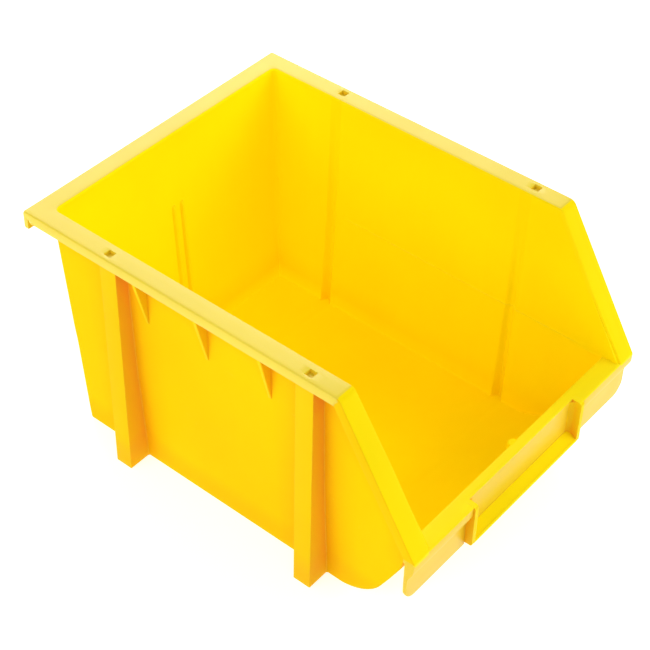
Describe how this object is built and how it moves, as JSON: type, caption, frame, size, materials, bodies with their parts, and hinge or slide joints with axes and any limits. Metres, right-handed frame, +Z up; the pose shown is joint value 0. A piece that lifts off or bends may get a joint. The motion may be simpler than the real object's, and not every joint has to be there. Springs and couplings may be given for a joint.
{
  "type": "stackable storage bin",
  "caption": "Open-front stackable picking bin with a full-perimeter rim, rear hanging hook, stacking posts, rim gussets and a front lip with a label holder.",
  "frame": {"origin": "centre of the bounding box in plan, on the plane the bin rests on", "axes": "+Z up, +Y towards the rear hanging hook, so the open front faces -Y, and +X towards the right-hand side of a person who looks into the open front"},
  "size_m": [0.21, 0.28, 0.1625],
  "materials": {
    "wall_plastic": "satin moulded polypropylene, saturated yellow",
    "rim_plastic": "satin moulded polypropylene, slightly burnished on the rim",
    "rib_plastic": "satin moulded polypropylene, saturated yellow"
  },
  "bodies": {
    "root": {"floor_panel": "wall_plastic", "front_apron_left": "rim_plastic", "front_apron_right": "rim_plastic", "front_divider_guide": "rim_plastic", "front_lip_shelf": "rim_plastic", "front_wall": "wall_plastic", "label_holder_back": "rim_plastic", "label_holder_ledge": "rim_plastic", "label_holder_left_bar": "rim_plastic", "label_holder_right_bar": "rim_plastic", "left_rim_rail": "rim_plastic", "left_side_wall": "wall_plastic", "left_sloped_rim": "rim_plastic", "rear_divider_rib_left": "wall_plastic", "rear_divider_rib_right": "wall_plastic", "rear_hanging_rail": "rim_plastic", "rear_wall": "wall_plastic", "right_rim_rail": "rim_plastic", "right_side_wall": "wall_plastic", "right_sloped_rim": "rim_plastic", "rim_gusset_left_1": "rib_plastic", "rim_gusset_left_2": "rib_plastic", "rim_gusset_left_3": "rib_plastic", "rim_gusset_right_1": "rib_plastic", "rim_gusset_right_2": "rib_plastic", "rim_gusset_right_3": "rib_plastic", "stacking_post_front_left": "rib_plastic", "stacking_post_front_right": "rib_plastic", "stacking_post_rear_left": "rib_plastic", "stacking_post_rear_right": "rib_plastic"}
  },
  "joints": []
}
